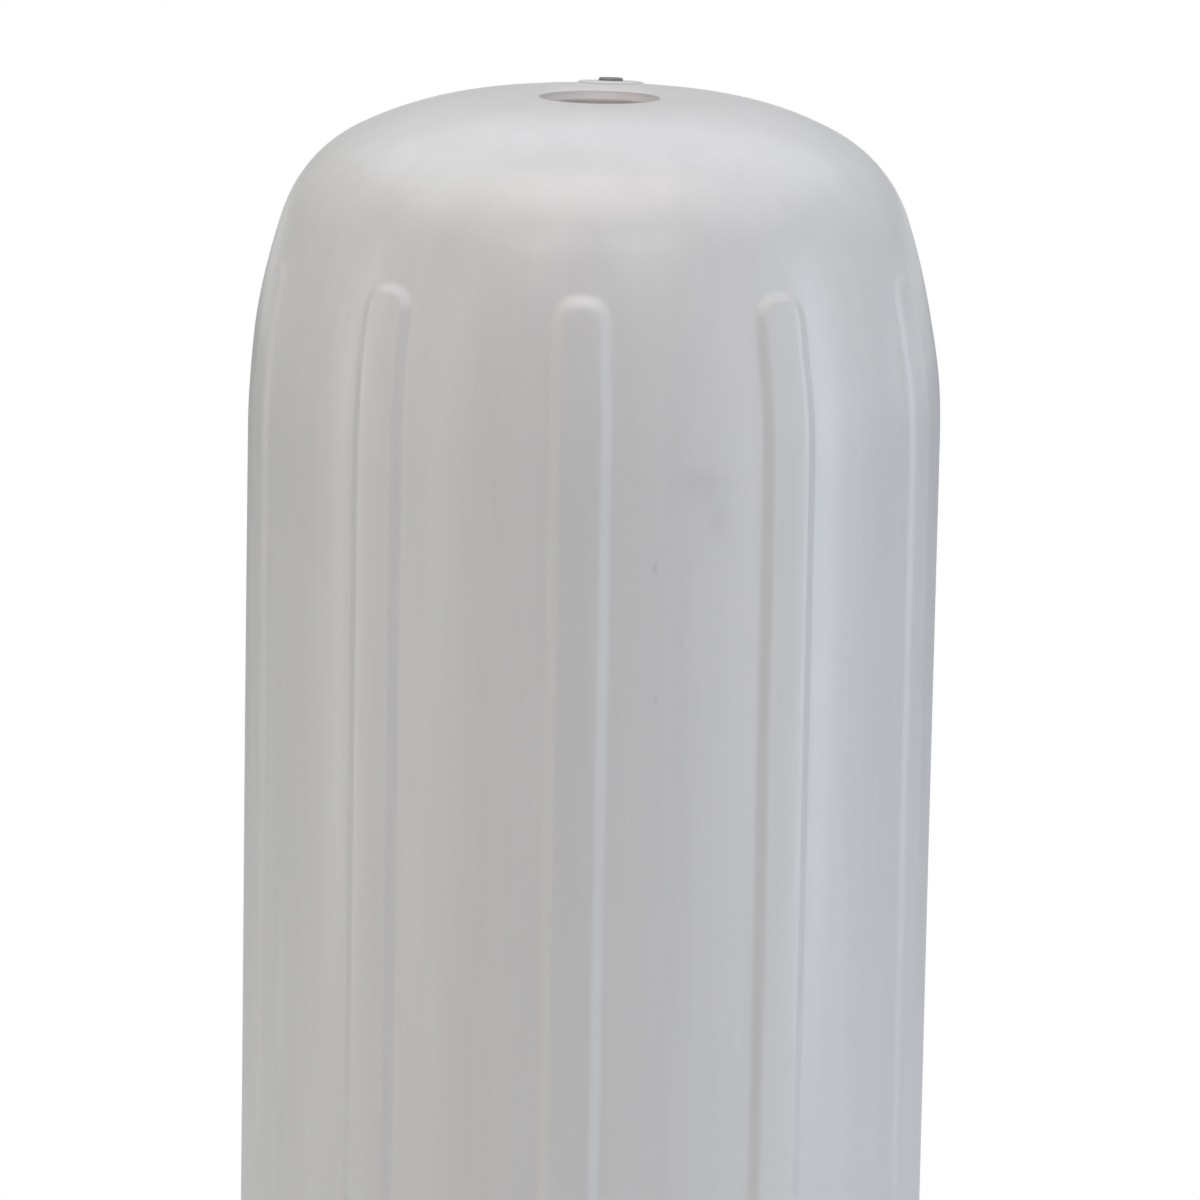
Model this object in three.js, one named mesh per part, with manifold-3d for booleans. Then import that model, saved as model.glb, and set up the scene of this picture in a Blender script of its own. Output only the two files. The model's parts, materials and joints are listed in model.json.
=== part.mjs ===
// Inflatable boat fender with a rope tube through its middle: one vinyl moulding and its rubber valve plug.
// Millimetres, +Z up. The fender stands on its lower end, with the origin under its axis, and a rib faces -Y.
import * as THREE from "three";
import { mergeVertices } from "three/addons/utils/BufferGeometryUtils.js";
import Module from "manifold-3d";

// Body: each end is a crown, a shoulder and a flank, three arcs that run on smoothly
const bodyRadius = 108;
const bodyLength = 520;
const crownSweepDeg = 27.5;
const shoulderArc = 44.5;
const shoulderEndDeg = 71.7;
const flankArc = 214;

// Rope tube and its mouths
const tubeRadius = 14;
const flareLength = 24; // over which the tube widens to the throat
const throatDepth = 3.5; // from the mouth's edge down to the throat
const mouthRadius = 18.6;
const mouthTaper = 1.5; // the throat's radius is this much smaller than the mouth's
const lipRadius = 0.6;
const rimWidth = 8.4; // from the mouth out to the highest ring of the end
const rimDip = 0.8; // from that ring down to the mouth's edge

// Lengthwise ribs, as many on each half of the mould; a rib faces -Y and another +Y
const ribsPerHalf = 5;
const ribSpacingDeg = 35.2;
const ribWidth = 20;
const ribFlank = 4.5; // width of the smooth rise from the wall to the rib's flat top
const ribHeight = 1.9;
const outerRibHeight = 1.2; // of the ribs nearest the mould's parting line
const ribCorner = 8.5; // corner radius of the rib's outline at its tips
const ribStart = 48; // from the highest ring of the end down to the rib's tip

// Valve boss and the plug in it
const valveTurnDeg = 3.3; // round the axis, from +Y towards +X
const bossToMouth = 7.1;
const bossRadius = 10.3;
const bossHeight = 0.6;
const bossRoot = 3;
const bossEdge = 0.5;
const plugRadius = 3.8;
const plugDepth = 9;
const plugProud = 1;
const plugEdge = 0.6;
const needleRadius = 0.8;
const needleDepth = 4;
const fitClearance = 0.3;

// Fineness of the meshes
const lipSteps = 2;
const dishSteps = 2;
const crownSteps = 4;
const shoulderSteps = 5;
const ribEndSteps = 6;
const flankSteps = 3;
const ribFlankSteps = 3;
const valleySteps = 2;
const closestRows = 0.5;
const roundSides = 28;
const edgeSteps = 3;

const upright = Math.PI / 2;
const crownEnd = THREE.MathUtils.degToRad(crownSweepDeg);
const shoulderEnd = THREE.MathUtils.degToRad(shoulderEndDeg);
const ringRadius = mouthRadius + rimWidth;
const shoulderReach = shoulderArc * (Math.sin(shoulderEnd) - Math.sin(crownEnd));
const flankReach = flankArc * (1 - Math.sin(shoulderEnd));
const crownArc = (bodyRadius - ringRadius - shoulderReach - flankReach) / Math.sin(crownEnd);
const endArcs = [
  { from: 0, to: crownEnd, radius: crownArc },
  { from: crownEnd, to: shoulderEnd, radius: shoulderArc },
  { from: shoulderEnd, to: upright, radius: flankArc },
];

const spread = (from, to, steps) =>
  Array.from({ length: steps + 1 }, (_, i) => from + ((to - from) * i) / steps);
const arcDrop = (arc, slope) => arc.radius * (Math.cos(arc.from) - Math.cos(slope));

// A point of the end where its wall has sloped down by an angle: 0 on the highest ring, upright on the side.
function endPoint(slope) {
  let radius = ringRadius;
  let drop = 0;
  for (const arc of endArcs) {
    const reached = THREE.MathUtils.clamp(slope, arc.from, arc.to);
    radius += arc.radius * (Math.sin(reached) - Math.sin(arc.from));
    drop += arcDrop(arc, reached);
  }
  return { radius, drop, slope };
}

function endPointAtDrop(drop) {
  let left = drop;
  for (const arc of endArcs) {
    if (left < arcDrop(arc, arc.to)) return endPoint(Math.acos(Math.cos(arc.from) - left / arc.radius));
    left -= arcDrop(arc, arc.to);
  }
  return { radius: bodyRadius, drop, slope: upright };
}

// A rib rises in a smooth step from its outline, a strip with rounded corners, to its flat top.
function ribRise(across, drop, height) {
  const beside = Math.max(across - (ribWidth / 2 - ribCorner), 0);
  const beyond = Math.max(ribStart + ribCorner - drop, 0);
  const distance = Math.hypot(beside, beyond);
  return height * (1 - THREE.MathUtils.smoothstep(distance, ribCorner - ribFlank, ribCorner));
}

const outermostRib = (ribsPerHalf - 1) / 2;
const ribs = [-upright, upright].flatMap((middle) =>
  spread(-outermostRib, outermostRib, ribsPerHalf - 1).map((place) => ({
    angle: middle + place * THREE.MathUtils.degToRad(ribSpacingDeg),
    height: Math.abs(place) > outermostRib - 0.5 ? outerRibHeight : ribHeight,
  })),
);

// Columns of the body's mesh from one rib's middle to the next: its flank, the valley, and the next rib's flank.
function columnsFrom(rib, place) {
  const following = ribs[(place + 1) % ribs.length];
  const turn = following.angle - rib.angle + (place + 1 < ribs.length ? 0 : 2 * Math.PI);
  const pitch = turn * bodyRadius;
  const half = [
    0,
    ...spread(ribWidth / 2 - ribFlank, ribWidth / 2, ribFlankSteps),
    ...spread(ribWidth / 2, pitch / 2, valleySteps).slice(1),
  ];
  const otherHalf = half.slice(1, -1).reverse().map((across) => pitch - across);
  return [...half, ...otherHalf].map((along) => ({
    angle: rib.angle + along / bodyRadius,
    across: Math.min(along, pitch - along),
    height: (along < pitch / 2 ? rib : following).height,
  }));
}
const ribbedColumns = ribs.flatMap(columnsFrom);
const plainColumns = ribbedColumns.filter((_, i) => i % 2 === 0);

// Rows of the mesh from the tube's flare over the mouth and the crown, which have no ribs.
function plainRows() {
  const throat = { radius: mouthRadius - mouthTaper, drop: rimDip + throatDepth };
  const flareEnd = { radius: tubeRadius, drop: throat.drop + flareLength };
  const lip = spread(0, upright, lipSteps).map((turn) => ({
    radius: mouthRadius + lipRadius * (1 - Math.cos(turn)),
    drop: rimDip + lipRadius * (1 - Math.sin(turn)),
  }));
  const dishWidth = rimWidth - lipRadius;
  const dish = spread(dishWidth, 0, dishSteps).slice(1).map((inside) => ({
    radius: ringRadius - inside,
    drop: rimDip * (inside / dishWidth) ** 2,
  }));
  return [flareEnd, throat, ...lip, ...dish, ...spread(0, crownEnd, crownSteps).slice(1).map(endPoint)];
}

// Rows from the shoulder to the upright side, close together where the ribs begin.
function ribbedRows() {
  const ribFull = ribStart + ribCorner;
  const rows = [
    ...spread(crownEnd, shoulderEnd, shoulderSteps).slice(1).map(endPoint),
    ...spread(ribStart, ribFull, ribEndSteps).map(endPointAtDrop),
    ...spread(ribFull, endPoint(upright).drop, flankSteps).slice(1).map(endPointAtDrop),
  ];
  rows.sort((a, b) => a.drop - b.drop);
  return rows.filter((row, i) => i === 0 || row.drop - rows[i - 1].drop > closestRows);
}

function geometryFrom(points, faces) {
  const geometry = new THREE.BufferGeometry();
  geometry.setAttribute("position", new THREE.Float32BufferAttribute(points, 3));
  geometry.setIndex(faces);
  return geometry;
}

// Joins two rings of vertices, one of which may have a whole number of columns for each column of the other.
function bridge(faces, above, below) {
  const count = Math.max(above.length, below.length);
  const pick = (ring, i) => ring[Math.floor((i * ring.length) / count) % ring.length];
  for (let i = 0; i < count; i += 1) {
    const [a, nextA] = [pick(above, i), pick(above, i + 1)];
    const [b, nextB] = [pick(below, i), pick(below, i + 1)];
    if (a !== nextA) faces.push(a, b, nextA);
    if (b !== nextB) faces.push(nextA, b, nextB);
  }
}

function makeShell() {
  const points = [];
  const faces = [];
  const addRing = (columns, row, atTop, ribbed) =>
    columns.map(({ angle, across, height }) => {
      const rise = ribbed ? ribRise(across, row.drop, height) : 0;
      const radius = row.radius + (rise ? rise * Math.sin(row.slope) : 0);
      const drop = row.drop - (rise ? rise * Math.cos(row.slope) : 0);
      points.push(radius * Math.cos(angle), radius * Math.sin(angle), atTop ? bodyLength - drop : drop);
      return points.length / 3 - 1;
    });
  const endRings = (atTop) => [
    ...plainRows().map((row) => addRing(plainColumns, row, atTop, false)),
    ...ribbedRows().map((row) => addRing(ribbedColumns, row, atTop, true)),
  ];
  const rings = [...endRings(true), ...endRings(false).reverse()];
  rings.forEach((ring, i) => bridge(faces, ring, rings[(i + 1) % rings.length]));
  return geometryFrom(points, faces);
}

// Turns an outline of radius and height pairs, from the axis and back to it, into a closed round solid.
function turned(outline) {
  const profile = outline.map(([radius, height]) => new THREE.Vector2(radius, height));
  const lathe = new THREE.LatheGeometry(profile, roundSides).rotateX(Math.PI / 2);
  lathe.deleteAttribute("normal");
  lathe.deleteAttribute("uv");
  const merged = mergeVertices(lathe, 1e-4);
  const faces = [];
  for (let i = 0; i < merged.index.count; i += 3) {
    const face = [0, 1, 2].map((corner) => merged.index.getX(i + corner));
    if (new Set(face).size === 3) faces.push(...face);
  }
  return geometryFrom(merged.attributes.position.array, faces);
}

const roundedEdge = (radius, height, edge) =>
  spread(0, upright, edgeSteps).map((turn) => [
    radius - edge * (1 - Math.cos(turn)),
    height - edge * (1 - Math.sin(turn)),
  ]);

// The valve sits square to the crown's surface, across the mouth from the rib that faces -Y.
const bossOffset = mouthRadius + bossToMouth + bossRadius;
const valveSlope = Math.asin(Math.max(bossOffset - ringRadius, 0) / crownArc);
const valveTurn = THREE.MathUtils.degToRad(valveTurnDeg);
const valvePlace = new THREE.Object3D();
valvePlace.position.set(
  bossOffset * Math.sin(valveTurn),
  bossOffset * Math.cos(valveTurn),
  bodyLength - endPoint(valveSlope).drop,
);
valvePlace.rotation.set(-valveSlope, 0, -valveTurn, "ZYX");
valvePlace.updateMatrix();

const makeBoss = () =>
  turned([[0, -bossRoot], [bossRadius, -bossRoot], ...roundedEdge(bossRadius, bossHeight, bossEdge), [0, bossHeight]]);

function makeSocket() {
  const radius = plugRadius + fitClearance;
  const bottom = -plugDepth - fitClearance;
  const top = bossHeight + plugProud;
  return turned([[0, bottom], [radius, bottom], [radius, top], [0, top]]);
}

function makePlug() {
  const top = bossHeight + plugProud;
  return turned([
    [0, -plugDepth],
    [plugRadius, -plugDepth],
    ...roundedEdge(plugRadius, top, plugEdge),
    [needleRadius, top],
    [needleRadius, top - needleDepth],
    [0, top - needleDepth],
  ]);
}

const wasm = await Module();
wasm.setup();

function solidOf(geometry) {
  return new wasm.Manifold(
    new wasm.Mesh({
      numProp: 3,
      vertProperties: new Float32Array(geometry.attributes.position.array),
      triVerts: new Uint32Array(geometry.index.array),
    }),
  );
}

function makeBody() {
  const boss = makeBoss().applyMatrix4(valvePlace.matrix);
  const socket = makeSocket().applyMatrix4(valvePlace.matrix);
  const mesh = solidOf(makeShell()).add(solidOf(boss)).subtract(solidOf(socket)).getMesh();
  return geometryFrom(mesh.vertProperties, [...mesh.triVerts]);
}

const vinyl = new THREE.MeshStandardMaterial({ color: 0xd3d3d1, roughness: 0.3, metalness: 0 });
const rubber = new THREE.MeshStandardMaterial({ color: 0x7c7e7d, roughness: 0.6, metalness: 0 });

const body = new THREE.Mesh(makeBody(), vinyl);
body.name = "fender_body";

const plug = new THREE.Mesh(makePlug(), rubber);
plug.name = "valve_plug";
plug.position.copy(valvePlace.position);
plug.rotation.copy(valvePlace.rotation);

const fender = new THREE.Group();
fender.add(body, plug);

export default fender;
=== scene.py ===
"""Inflatable boat fender of white vinyl with a rope tube through its middle, upright. Metres, +Z up."""

import json
import math

import bpy
import mathutils
import numpy as np
from mathutils import Matrix, Vector


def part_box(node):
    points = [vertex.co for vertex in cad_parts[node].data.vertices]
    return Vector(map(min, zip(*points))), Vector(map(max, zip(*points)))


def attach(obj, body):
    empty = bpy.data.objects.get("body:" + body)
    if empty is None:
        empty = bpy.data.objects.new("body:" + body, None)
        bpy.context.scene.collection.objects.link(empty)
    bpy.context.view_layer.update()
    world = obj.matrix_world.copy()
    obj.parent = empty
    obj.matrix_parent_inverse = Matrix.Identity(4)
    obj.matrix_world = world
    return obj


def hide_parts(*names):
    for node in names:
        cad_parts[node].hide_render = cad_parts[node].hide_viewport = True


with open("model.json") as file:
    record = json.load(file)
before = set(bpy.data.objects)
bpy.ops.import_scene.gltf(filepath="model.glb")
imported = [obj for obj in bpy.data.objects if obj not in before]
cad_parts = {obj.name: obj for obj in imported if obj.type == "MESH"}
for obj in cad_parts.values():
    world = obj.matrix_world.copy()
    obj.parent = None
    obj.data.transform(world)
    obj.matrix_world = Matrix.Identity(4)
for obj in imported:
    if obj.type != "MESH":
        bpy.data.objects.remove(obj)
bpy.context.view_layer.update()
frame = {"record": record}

UPRIGHT = math.pi / 2

# Body: the end's outline is a crown, a shoulder and a flank, each an arc
BODY_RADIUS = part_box("fender_body")[1].x
BODY_LENGTH = 0.520
CROWN_SWEEP = math.radians(27.5)
SHOULDER_ARC = 0.0445
SHOULDER_END = math.radians(71.7)
FLANK_ARC = 0.214

# Rope tube and its mouths: a flare, a throat with a slight taper, a rounded lip and a dished rim
TUBE_RADIUS = 0.014
FLARE_LENGTH = 0.024
THROAT_DEPTH = 0.0035
MOUTH_RADIUS = 0.0186
MOUTH_TAPER = 0.0015
LIP_RADIUS = 0.0006
RIM_WIDTH = 0.0084
RIM_DIP = 0.0008

# Lengthwise ribs, in two groups. The outermost ones of a group are lower
RIBS_PER_HALF = 5
RIB_SPACING = math.radians(35.2)
RIB_WIDTH = 0.020
RIB_FLANK = 0.0045
RIB_HEIGHT = 0.0019
OUTER_RIB_HEIGHT = 0.0012
RIB_CORNER = 0.0085
RIB_START = 0.048

# Valve: a low boss on the crown, with the plug in its socket
VALVE_TURN = math.radians(3.3)
BOSS_TO_MOUTH = 0.0071
BOSS_RADIUS = 0.0103
BOSS_HEIGHT = 0.0006
BOSS_ROOT = 0.003
BOSS_EDGE = 0.0005
BOSS_SHOULDER = 0.0026
PLUG_RADIUS = 0.0038
PLUG_DEPTH = 0.009
PLUG_PROUD = 0.001
PLUG_EDGE = 0.0006
NEEDLE_RADIUS = 0.0008
NEEDLE_DEPTH = 0.004
FIT_CLEARANCE = 0.0003

# Unevenness of the blown wall, always inwards, so that the body keeps its size: the depth of the waves,
# their length around and along the body, the drops between which they set in, and their place in the noise
WAVE_DEPTH = 0.0003
WAVES_AROUND = 0.045
WAVES_ALONG = 0.16
WAVES_START = (0.012, 0.070)
WAVES_PLACE = (3.1, 7.7, 1.9)

# The upper end leans a little towards -X: how far, and the drops at which the lean starts, is full,
# ebbs and ends
LEAN = 0.0006
LEAN_DROPS = (0.003, 0.016, 0.065, 0.090)

# Rows of the mesh over each end, along the side and along the tube, and columns over half a rib's pitch
FLARE_ROWS = 6
THROAT_ROWS = 3
LIP_ROWS = 6
DISH_ROWS = 6
CROWN_ROWS = 16
SHOULDER_ROWS = 20
ROWS_ABOVE_RIBS = 4
RIB_END_ROWS = 16
RIB_END_MARGIN = 0.001
FLANK_ROWS = 12
SIDE_ROWS = 60
TUBE_ROWS = 8
RIB_TOP_COLUMNS = 3
RIB_FLANK_COLUMNS = 8
COLUMNS_BETWEEN_RIBS = 6

# Sides of the round pieces, steps of their rounded edges, and the angle from which an edge looks sharp
ROUND_SIDES = 96
EDGE_STEPS = 6
SHARP_ANGLE = math.radians(50)

# Vinyl. A noise is its scale, detail and roughness, and a span is the part of its range that is spread out
STREAK_NOISE = (75.0, 3.0, 0.65)
STREAK_SPAN = (0.2, 0.8)
STREAK_STRETCH = 0.06
STREAK_SHADES = (0.963, 1.024)
GLOSS_NOISE = (45.0, 3.0, 0.5)
GLOSS_SPAN = (0.25, 0.75)
VINYL_ROUGHNESS = (0.285, 0.325)
PEEL_NOISE = (380.0, 2.0, 0.5)
PEEL_STRENGTH = 0.12
PEEL_DEPTH = 0.0002

# Painted warm shade inside the mouth and darker painted shade down the tube, and how far above the throat
# the tube's painted shade ends and is full
MOUTH_PAINTED_SHADE = (0.99, 0.95, 0.945)
TUBE_PAINTED_SHADE = (0.58, 0.54, 0.55)
TUBE_PAINTED_SHADE_FADE = (0.0012, 0.0001)

# Faint marks on the side; the tall lighter one on the left is a painted highlight along a crease. Each is
# its azimuth from -Y towards +X in degrees, height, radius, how many times as tall as wide, and the share
# of the vinyl's colour that is left at the middle. Grain makes their edges ragged
MARKS_AND_CREASE_HIGHLIGHT = (
    (18.2, 0.4160, 0.0086, 1.0, 0.955),
    (21.4, 0.4145, 0.0084, 1.0, 0.95),
    (22.7, 0.4037, 0.0052, 1.7, 0.94),
    (12.2, 0.3906, 0.0014, 2.0, 0.89),
    (12.8, 0.3498, 0.0012, 1.3, 0.90),
    (17.7, 0.3675, 0.0016, 1.6, 1.07),
    # Painted highlight along a crease on the left side
    (-58.3, 0.2495, 0.0045, 10.5, 1.065),
)
MARK_NOISE = (160.0, 4.0, 0.7)
MARK_RAGGEDNESS = 0.9
MARK_FADE = (0.5, 1.45)

# Rubber of the valve plug: its dusty grain and how matt it is
RUBBER_GRAIN_NOISE = (900.0, 3.0, 0.5)
RUBBER_GRAIN_SPAN = (0.25, 0.75)
RUBBER_SHADES = (0.8, 1.3)
RUBBER_MATT_NOISE = (600.0, 3.0, 0.5)
RUBBER_MATT_SPAN = (0.3, 0.7)
RUBBER_ROUGHNESS = (0.5, 0.65)

# Camera, found from the outline in the photograph
CAMERA_DISTANCE = 2.320
CAMERA_HEIGHT = 0.7907
CAMERA_AROUND = math.radians(2.05)
CAMERA_PITCH = math.radians(10.499)
CAMERA_ROLL = math.radians(1.04)
CAMERA_YAW = math.radians(-0.0713)
CAMERA_LENS = 225.8
CAMERA_REACH = 60

# Floor: where its own colour turns to plain white, for the camera and for reflections
FLOOR_REACH = 40.0
FLOOR_COLOUR = (0.9, 0.9, 0.9)
FLOOR_FADE_SEEN = (0.25, 0.55)
FLOOR_FADE_MIRRORED = (4.0, 8.0)

# Room and soft lamps, matched to the light and dark bands in the photograph. Each lamp: name, azimuth from
# -Y towards +X in degrees, distance from the axis, height, width, tallness, height on the axis that it
# faces (None: it faces down), brightness and colour
WHITE = (1, 1, 1)
WORLD_COLOUR = (0.03, 0.03, 0.03)
WORLD_MIRRORED = 0.42
LAMPS = (
    ("lamp_ceiling", 180, 0.73, 2.1, 3.4, 3.5, None, 0.79, (0.92, 0.98, 1.10)),
    ("lamp_top", 0, 0.35, 2.0, 1.2, 1.2, None, 1.75, (1.11, 0.98, 0.90)),
    ("lamp_top_left", -90, 0.9, 2.0, 1.2, 1.2, 0.36, 0.49, (0.93, 1.11, 0.98)),
    ("lamp_upper_right", 20, 1.8, 1.8, 0.9, 0.9, 0.36, 2.57, (0.93, 1.08, 1.02)),
    ("lamp_upper_left", -20, 1.8, 1.8, 0.9, 0.9, 0.36, 2.50, (1.11, 0.89, 1.00)),
    ("strip_left", -80, 1.0, 0.42, 0.18, 0.8, 0.42, 2.85, (1.05, 1.04, 0.91)),
    ("strip_front_left", -50, 1.0, 0.42, 0.18, 0.8, 0.42, 1.42, (1.01, 1.09, 0.92)),
    ("strip_front_right", 50, 1.0, 0.42, 0.18, 0.8, 0.42, 2.06, (0.98, 0.91, 1.05)),
    ("strip_right", 80, 1.0, 0.42, 0.18, 0.8, 0.42, 4.55, (0.88, 1.02, 1.13)),
)

# The three arcs of an end: slope where it starts, slope where it ends, and radius
RING_RADIUS = MOUTH_RADIUS + RIM_WIDTH
SHOULDER_REACH = SHOULDER_ARC * (math.sin(SHOULDER_END) - math.sin(CROWN_SWEEP))
FLANK_REACH = FLANK_ARC * (1 - math.sin(SHOULDER_END))
CROWN_ARC = (BODY_RADIUS - RING_RADIUS - SHOULDER_REACH - FLANK_REACH) / math.sin(CROWN_SWEEP)
END_ARCS = (
    (0.0, CROWN_SWEEP, CROWN_ARC),
    (CROWN_SWEEP, SHOULDER_END, SHOULDER_ARC),
    (SHOULDER_END, UPRIGHT, FLANK_ARC),
)


def spread(start, stop, steps):
    return list(np.linspace(start, stop, steps + 1))


def smoothstep(value, low, high):
    share = np.clip((value - low) / (high - low), 0, 1)
    return share * share * (3 - 2 * share)


def end_point(slope):
    """Radius, drop and slope of the end's outline where its wall has sloped down by an angle."""
    radius, drop = RING_RADIUS, 0.0
    for start, stop, arc in END_ARCS:
        reached = min(max(slope, start), stop)
        radius += arc * (math.sin(reached) - math.sin(start))
        drop += arc * (math.cos(start) - math.cos(reached))
    return radius, drop, slope


def end_point_at_drop(drop):
    left = drop
    for start, stop, arc in END_ARCS:
        whole = arc * (math.cos(start) - math.cos(stop))
        if left < whole:
            return end_point(math.acos(math.cos(start) - left / arc))
        left -= whole
    return BODY_RADIUS, drop, UPRIGHT


def mouth_rows():
    """Radius, drop and slope of each row from the tube's flare over the lip to the rim's outer edge."""
    throat_radius = MOUTH_RADIUS - MOUTH_TAPER
    throat_drop = RIM_DIP + THROAT_DEPTH
    taper_top = RIM_DIP + LIP_RADIUS
    flare = [
        (
            TUBE_RADIUS + (throat_radius - TUBE_RADIUS) * share,
            throat_drop + FLARE_LENGTH * (1 - share),
            UPRIGHT,
        )
        for share in spread(0, 1, FLARE_ROWS)
    ]
    throat = [
        (throat_radius + MOUTH_TAPER * share, throat_drop + (taper_top - throat_drop) * share, UPRIGHT)
        for share in spread(0, 1, THROAT_ROWS)[1:-1]
    ]
    lip = [
        (MOUTH_RADIUS + LIP_RADIUS * (1 - math.cos(turn)), RIM_DIP + LIP_RADIUS * (1 - math.sin(turn)), 0.0)
        for turn in spread(0, UPRIGHT, LIP_ROWS)
    ]
    dish_width = RIM_WIDTH - LIP_RADIUS
    dish = [
        (RING_RADIUS - inside, RIM_DIP * (inside / dish_width) ** 2, 0.0)
        for inside in spread(dish_width, 0, DISH_ROWS)[1:]
    ]
    return flare + throat + lip + dish


def end_rows():
    """Radius, drop and slope of each row of one end, from the tube's flare to the upright side."""
    dome = [end_point(slope) for slope in spread(0, CROWN_SWEEP, CROWN_ROWS)[1:]]
    dome += [end_point(slope) for slope in spread(CROWN_SWEEP, SHOULDER_END, SHOULDER_ROWS)[1:]]
    shoulder_drop = dome[-1][1]
    rib_end = RIB_START - RIB_END_MARGIN
    rib_full = RIB_START + RIB_CORNER + RIB_END_MARGIN
    flank_drop = end_point(UPRIGHT)[1]
    drops = spread(shoulder_drop, rib_end, ROWS_ABOVE_RIBS)[1:]
    drops += spread(rib_end, rib_full, RIB_END_ROWS)[1:]
    drops += spread(rib_full, flank_drop, FLANK_ROWS)[1:]
    return mouth_rows() + dome + [end_point_at_drop(drop) for drop in drops]


def all_ribs():
    """Angle and height of each rib. Those nearest the mould's parting line are lower."""
    outermost = (RIBS_PER_HALF - 1) / 2
    places = spread(-outermost, outermost, RIBS_PER_HALF - 1)
    heights = [OUTER_RIB_HEIGHT, *[RIB_HEIGHT] * (RIBS_PER_HALF - 2), OUTER_RIB_HEIGHT]
    return [
        (middle + place * RIB_SPACING, height)
        for middle in (-UPRIGHT, UPRIGHT)
        for place, height in zip(places, heights)
    ]


def rib_columns():
    """Angle of each column, its distance from the nearest rib's middle, and that rib's height."""
    ribs = all_ribs()
    first_angle, first_height = ribs[0]
    following_ribs = [*ribs[1:], (first_angle + 2 * math.pi, first_height)]
    angles, distances, heights = [], [], []
    for (rib, rib_height), (following, next_height) in zip(ribs, following_ribs):
        pitch = (following - rib) * BODY_RADIUS
        half = spread(0, RIB_WIDTH / 2 - RIB_FLANK, RIB_TOP_COLUMNS)
        half += spread(RIB_WIDTH / 2 - RIB_FLANK, RIB_WIDTH / 2, RIB_FLANK_COLUMNS)[1:]
        half += spread(RIB_WIDTH / 2, pitch / 2, COLUMNS_BETWEEN_RIBS)[1:]
        for place in half + [pitch - across for across in half[-2:0:-1]]:
            angles.append(rib + place / BODY_RADIUS)
            distances.append(min(place, pitch - place))
            heights.append(rib_height if place < pitch / 2 else next_height)
    return np.array(angles), np.array(distances), np.array(heights)


def rib_rise(across, drop, rib_height):
    """How far the wall stands proud at each column of a row: ribs with soft flanks and rounded tips."""
    beside = np.maximum(across - (RIB_WIDTH / 2 - RIB_CORNER), 0)
    beyond = max(RIB_START + RIB_CORNER - drop, 0)
    distance = np.hypot(beside, beyond)
    return rib_height * (1 - smoothstep(distance, RIB_CORNER - RIB_FLANK, RIB_CORNER))


def wall_dip(angles, height):
    """How far the blown wall lies inside its true form: long shallow waves that run up the body."""
    around = BODY_RADIUS / WAVES_AROUND
    place = Vector(WAVES_PLACE)
    dips = []
    for angle in angles:
        spot = Vector((math.cos(angle) * around, math.sin(angle) * around, height / WAVES_ALONG))
        dips.append(mathutils.noise.noise(spot + place) * 0.5 + 0.5)
    return WAVE_DEPTH * np.clip(dips, 0, 1)


def lean(drop):
    start, full, ebb, end = LEAN_DROPS
    return LEAN * smoothstep(drop, start, full) * (1 - smoothstep(drop, ebb, end))


def make_mesh(name, points, faces):
    mesh = bpy.data.meshes.new(name)
    mesh.from_pydata(points, [], faces)
    mesh.update()
    piece = bpy.data.objects.new(name, mesh)
    bpy.context.scene.collection.objects.link(piece)
    mesh.shade_smooth()
    return piece


def make_shell():
    """The whole wall as one closed sheet of rings: upper end, side, lower end and back up the rope tube."""
    angles, across, rib_height = rib_columns()
    round_tube = TUBE_RADIUS * np.cos(angles), TUBE_RADIUS * np.sin(angles)
    points = []

    def add_ring(radius, drop, slope, at_top):
        """One ring of the wall, risen at the ribs along its own slope and sunk a little by the waves."""
        height = BODY_LENGTH - drop if at_top else drop
        dip = wall_dip(angles, height) * smoothstep(drop, *WAVES_START)
        rise = rib_rise(across, drop, rib_height) - dip
        reach = radius + rise * math.sin(slope)
        lift = rise * math.cos(slope) * (1 if at_top else -1)
        shift = lean(drop) if at_top else 0
        ring = [reach * np.cos(angles) - shift, reach * np.sin(angles), height + lift]
        points.extend(np.stack(ring, 1))

    rows = end_rows()
    side_start = rows[-1][1]
    for row in rows:
        add_ring(*row, True)
    for drop in spread(side_start, BODY_LENGTH - side_start, SIDE_ROWS)[1:-1]:
        add_ring(BODY_RADIUS, min(drop, BODY_LENGTH - drop), UPRIGHT, drop < BODY_LENGTH / 2)
    for row in reversed(rows):
        add_ring(*row, False)
    tube_end = rows[0][1]
    for height in spread(tube_end, BODY_LENGTH - tube_end, TUBE_ROWS)[1:-1]:
        points.extend(np.stack([*round_tube, np.full(len(angles), height)], 1))

    count = len(angles)
    ring_count = len(points) // count
    faces = []
    for row in range(ring_count):
        below = (row + 1) % ring_count
        for column in range(count):
            beside = (column + 1) % count
            corners = (row, column), (below, column), (below, beside), (row, beside)
            faces.append([ring * count + place for ring, place in corners])
    return make_mesh("fender_skin", [tuple(point) for point in points], faces)


def turned(name, outline):
    """A closed round solid from an outline of radius and height pairs that starts and ends on the axis."""
    points, faces, rings = [], [], []
    for radius, height in outline:
        if radius == 0:
            rings.append([len(points)])
            points.append((0, 0, height))
            continue
        rings.append(list(range(len(points), len(points) + ROUND_SIDES)))
        for side in range(ROUND_SIDES):
            turn = 2 * math.pi * side / ROUND_SIDES
            points.append((radius * math.cos(turn), radius * math.sin(turn), height))
    for low, high in zip(rings, rings[1:]):
        for side in range(ROUND_SIDES):
            beside = (side + 1) % ROUND_SIDES
            if len(low) == 1:
                faces.append((low[0], high[beside], high[side]))
            elif len(high) == 1:
                faces.append((low[side], low[beside], high[0]))
            else:
                faces.append((low[side], low[beside], high[beside], high[side]))
    return make_mesh(name, points, faces)


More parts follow.
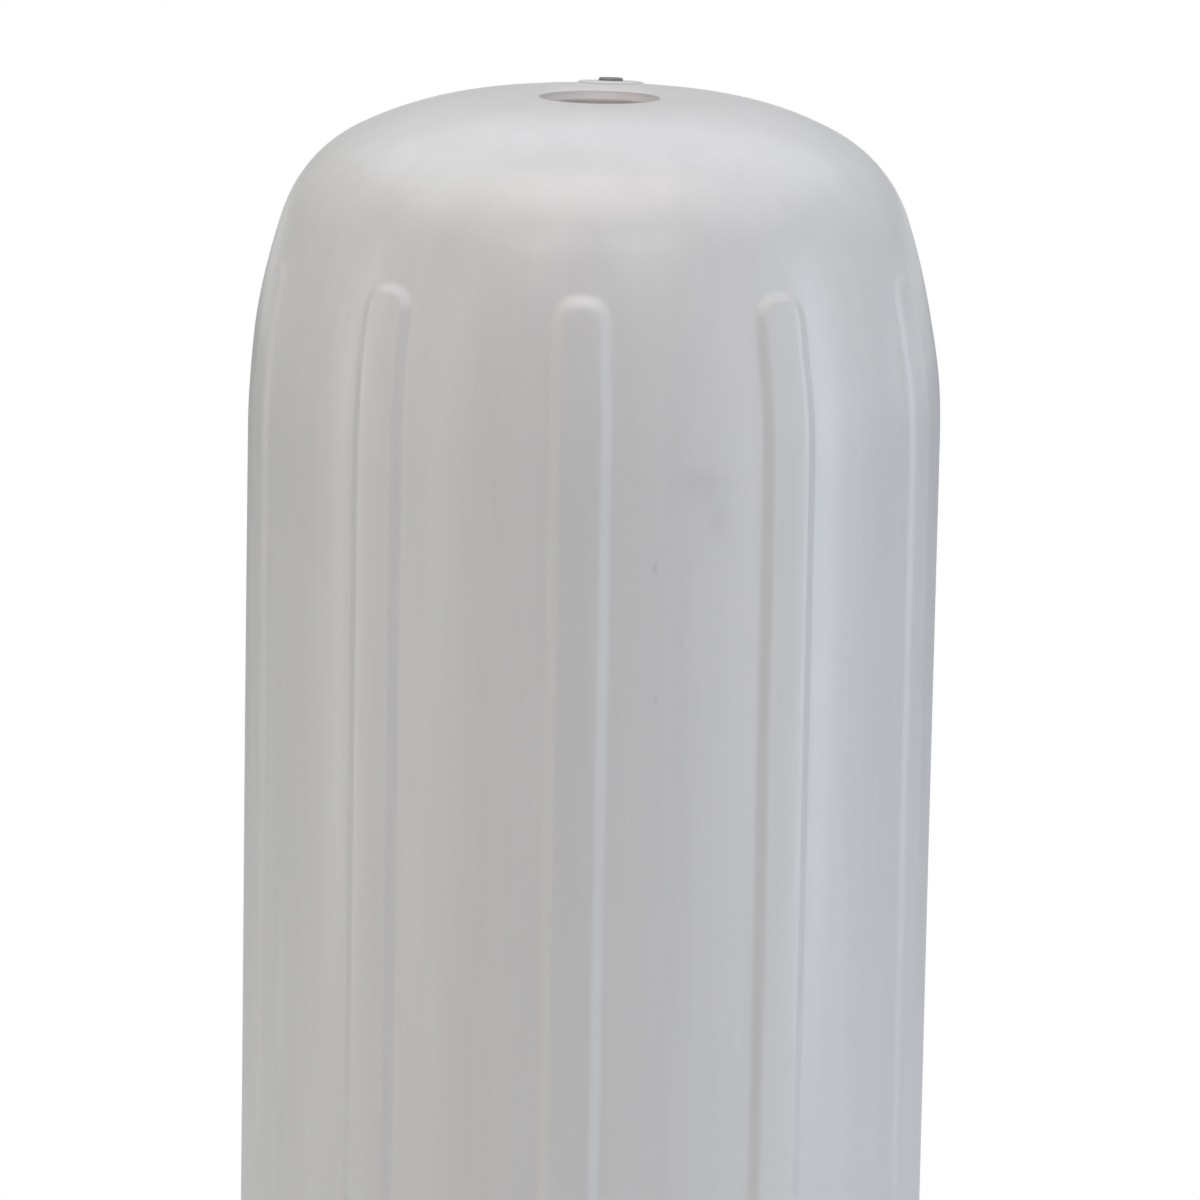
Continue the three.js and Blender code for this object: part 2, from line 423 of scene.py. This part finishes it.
def rounded_edge(radius, height, width, depth):
    """Outline of an upper edge: a quarter round, or a quarter ellipse if it is wider than it is deep."""
    return [
        (radius - width * (1 - math.cos(turn)), height - depth * (1 - math.sin(turn)))
        for turn in spread(0, UPRIGHT, EDGE_STEPS)
    ]


def valve_place():
    """The frame of the valve: square to the crown's surface, on the far side of the mouth."""
    offset = MOUTH_RADIUS + BOSS_TO_MOUTH + BOSS_RADIUS
    slope = math.asin((offset - RING_RADIUS) / CROWN_ARC)
    lift = Matrix.Translation((0, offset, BODY_LENGTH - end_point(slope)[1]))
    return Matrix.Rotation(-VALVE_TURN, 4, "Z") @ lift @ Matrix.Rotation(-slope, 4, "X")


def turned_at_valve(name, outline):
    piece = turned(name, outline)
    piece.data.transform(valve_place())
    return piece


def cut_or_join(piece, tool, operation):
    step = piece.modifiers.new(operation.lower(), "BOOLEAN")
    step.operation = operation
    step.solver = "EXACT"
    step.object = tool
    depsgraph = bpy.context.evaluated_depsgraph_get()
    result = bpy.data.meshes.new_from_object(piece.evaluated_get(depsgraph))
    piece.modifiers.clear()
    piece.data = result
    bpy.data.objects.remove(tool)


def make_body():
    body = make_shell()
    shoulder = rounded_edge(BOSS_RADIUS, BOSS_HEIGHT, BOSS_SHOULDER, BOSS_EDGE)
    boss = [(0, -BOSS_ROOT), (BOSS_RADIUS, -BOSS_ROOT), *shoulder, (0, BOSS_HEIGHT)]
    cut_or_join(body, turned_at_valve("boss", boss), "UNION")
    radius = PLUG_RADIUS + FIT_CLEARANCE
    bottom = -PLUG_DEPTH - FIT_CLEARANCE
    top = BOSS_HEIGHT + PLUG_PROUD
    socket = [(0, bottom), (radius, bottom), (radius, top), (0, top)]
    cut_or_join(body, turned_at_valve("socket", socket), "DIFFERENCE")
    body.data.set_sharp_from_angle(angle=SHARP_ANGLE)
    return body


def make_plug():
    top = BOSS_HEIGHT + PLUG_PROUD
    needle_end = top - NEEDLE_DEPTH
    outline = [(0, -PLUG_DEPTH), (PLUG_RADIUS, -PLUG_DEPTH)]
    outline += rounded_edge(PLUG_RADIUS, top, PLUG_EDGE, PLUG_EDGE)
    outline += [(NEEDLE_RADIUS, top), (NEEDLE_RADIUS, needle_end), (0, needle_end)]
    plug = turned_at_valve("valve_insert", outline)
    plug.data.set_sharp_from_angle(angle=SHARP_ANGLE)
    return plug


class Nodes:
    """The node tree of a material or a world. Its calls add a node and return one of its outputs."""

    def __init__(self, owner, output="ShaderNodeOutputMaterial"):
        owner.use_nodes = True
        self.tree = owner.node_tree
        self.tree.nodes.clear()
        self.surface = self.tree.nodes.new(output).inputs["Surface"]

    def feed(self, socket, value):
        """Links a socket to another one, or sets it to a plain value."""
        if isinstance(value, bpy.types.NodeSocket):
            self.tree.links.new(value, socket)
        else:
            socket.default_value = value

    def make(self, kind, inputs, output, **settings):
        node = self.tree.nodes.new(kind)
        for key, value in settings.items():
            setattr(node, key, value)
        for key, value in inputs.items():
            self.feed(node.inputs[key], value)
        return node.outputs[output]

    def place(self):
        return self.make("ShaderNodeTexCoord", {}, "Object")

    def ray(self, kind):
        return self.make("ShaderNodeLightPath", {}, kind)

    def noise(self, place, scale, detail, roughness):
        inputs = {"Vector": place, "Scale": scale, "Detail": detail, "Roughness": roughness}
        return self.make("ShaderNodeTexNoise", inputs, "Fac")

    def remap(self, value, low, high, to_low, to_high, kind="SMOOTHSTEP"):
        inputs = {"Value": value, "From Min": low, "From Max": high, "To Min": to_low, "To Max": to_high}
        return self.make("ShaderNodeMapRange", inputs, "Result", interpolation_type=kind)

    def mix_colours(self, kind, share, first, second):
        inputs = {0: share, 6: first, 7: second}
        return self.make("ShaderNodeMix", inputs, 2, data_type="RGBA", blend_type=kind, clamp_factor=True)

    def mix_shaders(self, share, first, second):
        return self.make("ShaderNodeMixShader", {0: share, 1: first, 2: second}, "Shader")

    def scaled(self, vector, factors):
        return self.make("ShaderNodeVectorMath", {0: vector, 1: factors}, "Vector", operation="MULTIPLY")

    def distance(self, vector, point):
        return self.make("ShaderNodeVectorMath", {0: vector, 1: point}, "Value", operation="DISTANCE")

    def maths(self, kind, first, second):
        return self.make("ShaderNodeMath", {0: first, 1: second}, "Value", operation=kind)


def shades(colour, factors):
    return [(*(part * factor for part in colour), 1) for factor in factors]


def marked_and_highlighted(nodes, place, base):
    """The vinyl's colour with faint marks on the side, one of them a painted highlight along a crease."""
    grain = nodes.noise(place, *MARK_NOISE)
    for azimuth, height, radius, tallness, left in MARKS_AND_CREASE_HIGHLIGHT:
        turn = math.radians(azimuth)
        middle = (BODY_RADIUS * math.sin(turn), -BODY_RADIUS * math.cos(turn), height / tallness)
        away = nodes.distance(nodes.scaled(place, (1, 1, 1 / tallness)), middle)
        ragged = nodes.maths("ADD", away, nodes.maths("MULTIPLY", grain, radius * MARK_RAGGEDNESS))
        fade_start, fade_end = (radius * share for share in MARK_FADE)
        share = nodes.remap(ragged, fade_start, fade_end, 1.0, 0.0)
        base = nodes.mix_colours("MULTIPLY", share, base, (left, left, left, 1))
    return base


def with_painted_tube_shade(nodes, place, base):
    """The vinyl's colour with painted warm shade inside the mouths and darker painted shade down the tube.
    """
    from_axis = nodes.distance(nodes.scaled(place, (1, 1, 0)), (0, 0, 0))
    inside = nodes.remap(from_axis, MOUTH_RADIUS, MOUTH_RADIUS + LIP_RADIUS, 1.0, 0.0)
    # Painted warm shade inside the mouth and on its lip
    base = nodes.mix_colours("MULTIPLY", inside, base, (*MOUTH_PAINTED_SHADE, 1))
    height = nodes.make("ShaderNodeSeparateXYZ", {0: place}, "Z")
    depth = nodes.maths("MINIMUM", height, nodes.maths("SUBTRACT", BODY_LENGTH, height))
    fade_start, fade_end = (RIM_DIP + THROAT_DEPTH - above for above in TUBE_PAINTED_SHADE_FADE)
    deep_shade = nodes.maths("MULTIPLY", nodes.remap(depth, fade_start, fade_end, 0.0, 1.0), inside)
    # Painted darker shade down the rope tube
    return nodes.mix_colours("MULTIPLY", deep_shade, base, (*TUBE_PAINTED_SHADE, 1))


def vinyl_material(colour):
    """Soft glossy white vinyl: faintly streaky, with a few marks on the side, one a painted crease
    highlight, and painted shade inside the mouths and down the rope tube.
    """
    material = bpy.data.materials.new("moulded_vinyl")
    nodes = Nodes(material)
    place = nodes.place()
    streaks = nodes.noise(nodes.scaled(place, (1, 1, STREAK_STRETCH)), *STREAK_NOISE)
    streaks = nodes.remap(streaks, *STREAK_SPAN, 0.0, 1.0)
    base = nodes.mix_colours("MIX", streaks, *shades(colour, STREAK_SHADES))
    base = with_painted_tube_shade(nodes, place, marked_and_highlighted(nodes, place, base))
    gloss = nodes.remap(nodes.noise(place, *GLOSS_NOISE), *GLOSS_SPAN, *VINYL_ROUGHNESS)
    peel = {"Height": nodes.noise(place, *PEEL_NOISE), "Strength": PEEL_STRENGTH, "Distance": PEEL_DEPTH}
    normal = nodes.make("ShaderNodeBump", peel, "Normal")
    look = {"Base Color": base, "Roughness": gloss, "Normal": normal}
    nodes.feed(nodes.surface, nodes.make("ShaderNodeBsdfPrincipled", look, "BSDF"))
    return material


def rubber_material(colour):
    """Matt grey rubber with a fine dusty grain."""
    material = bpy.data.materials.new("valve_rubber")
    nodes = Nodes(material)
    place = nodes.place()
    grain = nodes.remap(nodes.noise(place, *RUBBER_GRAIN_NOISE), *RUBBER_GRAIN_SPAN, 0.0, 1.0)
    base = nodes.mix_colours("MIX", grain, *shades(colour, RUBBER_SHADES))
    matt = nodes.noise(place, *RUBBER_MATT_NOISE)
    matt = nodes.remap(matt, *RUBBER_MATT_SPAN, *RUBBER_ROUGHNESS, kind="LINEAR")
    look = {"Base Color": base, "Roughness": matt}
    nodes.feed(nodes.surface, nodes.make("ShaderNodeBsdfPrincipled", look, "BSDF"))
    return material


def make_camera():
    camera = bpy.data.objects.new("camera", bpy.data.cameras.new("camera"))
    bpy.context.scene.collection.objects.link(camera)
    camera.data.lens = CAMERA_LENS
    camera.data.clip_end = CAMERA_REACH
    around = Matrix.Rotation(CAMERA_AROUND, 4, "Z")
    spot = around @ Matrix.Translation((0, -CAMERA_DISTANCE, CAMERA_HEIGHT))
    aim = Matrix.Rotation(CAMERA_YAW, 4, "Z") @ Matrix.Rotation(UPRIGHT - CAMERA_PITCH, 4, "X")
    camera.matrix_world = spot @ aim @ Matrix.Rotation(CAMERA_ROLL, 4, "Z")
    bpy.context.scene.camera = camera


def floor_material():
    """White that keeps the fender's shadow. Further out the camera and reflections see plain white."""
    material = bpy.data.materials.new("white_floor")
    nodes = Nodes(material)
    away = nodes.distance(nodes.place(), (0, 0, 0))
    seen = nodes.remap(away, *FLOOR_FADE_SEEN, 0, 1, kind="LINEAR")
    seen = nodes.maths("MULTIPLY", nodes.ray("Is Camera Ray"), seen)
    reflection = nodes.maths("MAXIMUM", nodes.ray("Is Glossy Ray"), nodes.ray("Is Transmission Ray"))
    mirrored = nodes.remap(away, *FLOOR_FADE_MIRRORED, 0, 1, kind="LINEAR")
    mirrored = nodes.maths("MULTIPLY", reflection, mirrored)
    diffuse = nodes.make("ShaderNodeBsdfDiffuse", {"Color": (*FLOOR_COLOUR, 1)}, "BSDF")
    plain_white = nodes.make("ShaderNodeEmission", {}, "Emission")
    share = nodes.maths("MAXIMUM", seen, mirrored)
    nodes.feed(nodes.surface, nodes.mix_shaders(share, diffuse, plain_white))
    return material


def make_floor():
    corners = [(x * FLOOR_REACH, y * FLOOR_REACH, 0) for x, y in ((-1, -1), (1, -1), (1, 1), (-1, 1))]
    floor = make_mesh("floor", corners, [(0, 1, 2, 3)])
    floor.data.materials.append(floor_material())


def make_world():
    """A dim room that the camera sees as plain white, with pale surroundings in the reflections."""
    world = bpy.data.worlds.new("room")
    bpy.context.scene.world = world
    nodes = Nodes(world, "ShaderNodeOutputWorld")
    dim, mirrored, seen = (
        nodes.make("ShaderNodeBackground", {"Color": (*colour, 1), "Strength": strength}, "Background")
        for colour, strength in ((WORLD_COLOUR, 1.0), (WHITE, WORLD_MIRRORED), (WHITE, 1.0))
    )
    room = nodes.mix_shaders(nodes.ray("Is Glossy Ray"), dim, mirrored)
    room = nodes.mix_shaders(nodes.ray("Is Transmission Ray"), room, mirrored)
    room = nodes.mix_shaders(nodes.ray("Is Camera Ray"), room, seen)
    nodes.feed(nodes.surface, room)


def make_lamps():
    """Each lamp's power follows from its size, so that its brightness is that of its surface."""
    for name, azimuth, distance, height, width, tallness, faced, brightness, colour in LAMPS:
        lamp = bpy.data.objects.new(name, bpy.data.lights.new(name, "AREA"))
        bpy.context.scene.collection.objects.link(lamp)
        lamp.data.shape = "RECTANGLE"
        lamp.data.size = width
        lamp.data.size_y = tallness
        lamp.data.energy = brightness * math.pi * width * tallness
        lamp.data.color = colour
        lamp.visible_camera = False
        turn = math.radians(azimuth)
        lamp.location = (distance * math.sin(turn), -distance * math.cos(turn), height)
        back = Vector((0, 0, 1)) if faced is None else lamp.location - Vector((0, 0, faced))
        lamp.rotation_euler = back.to_track_quat("Z", "Y").to_euler()


colours = {entry["slot"]: entry["base_color"][:3] for entry in frame["record"]["materials"]}

make_camera()
make_world()
make_floor()
make_lamps()

skin = make_body()
skin.data.materials.clear()
skin.data.materials.append(vinyl_material(colours["vinyl"]))
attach(skin, "root")
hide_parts("fender_body")

insert = make_plug()
insert.data.materials.append(rubber_material(colours["valve_rubber"]))
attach(insert, "root")
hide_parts("valve_plug")

bpy.context.scene.view_settings.view_transform = "Standard"
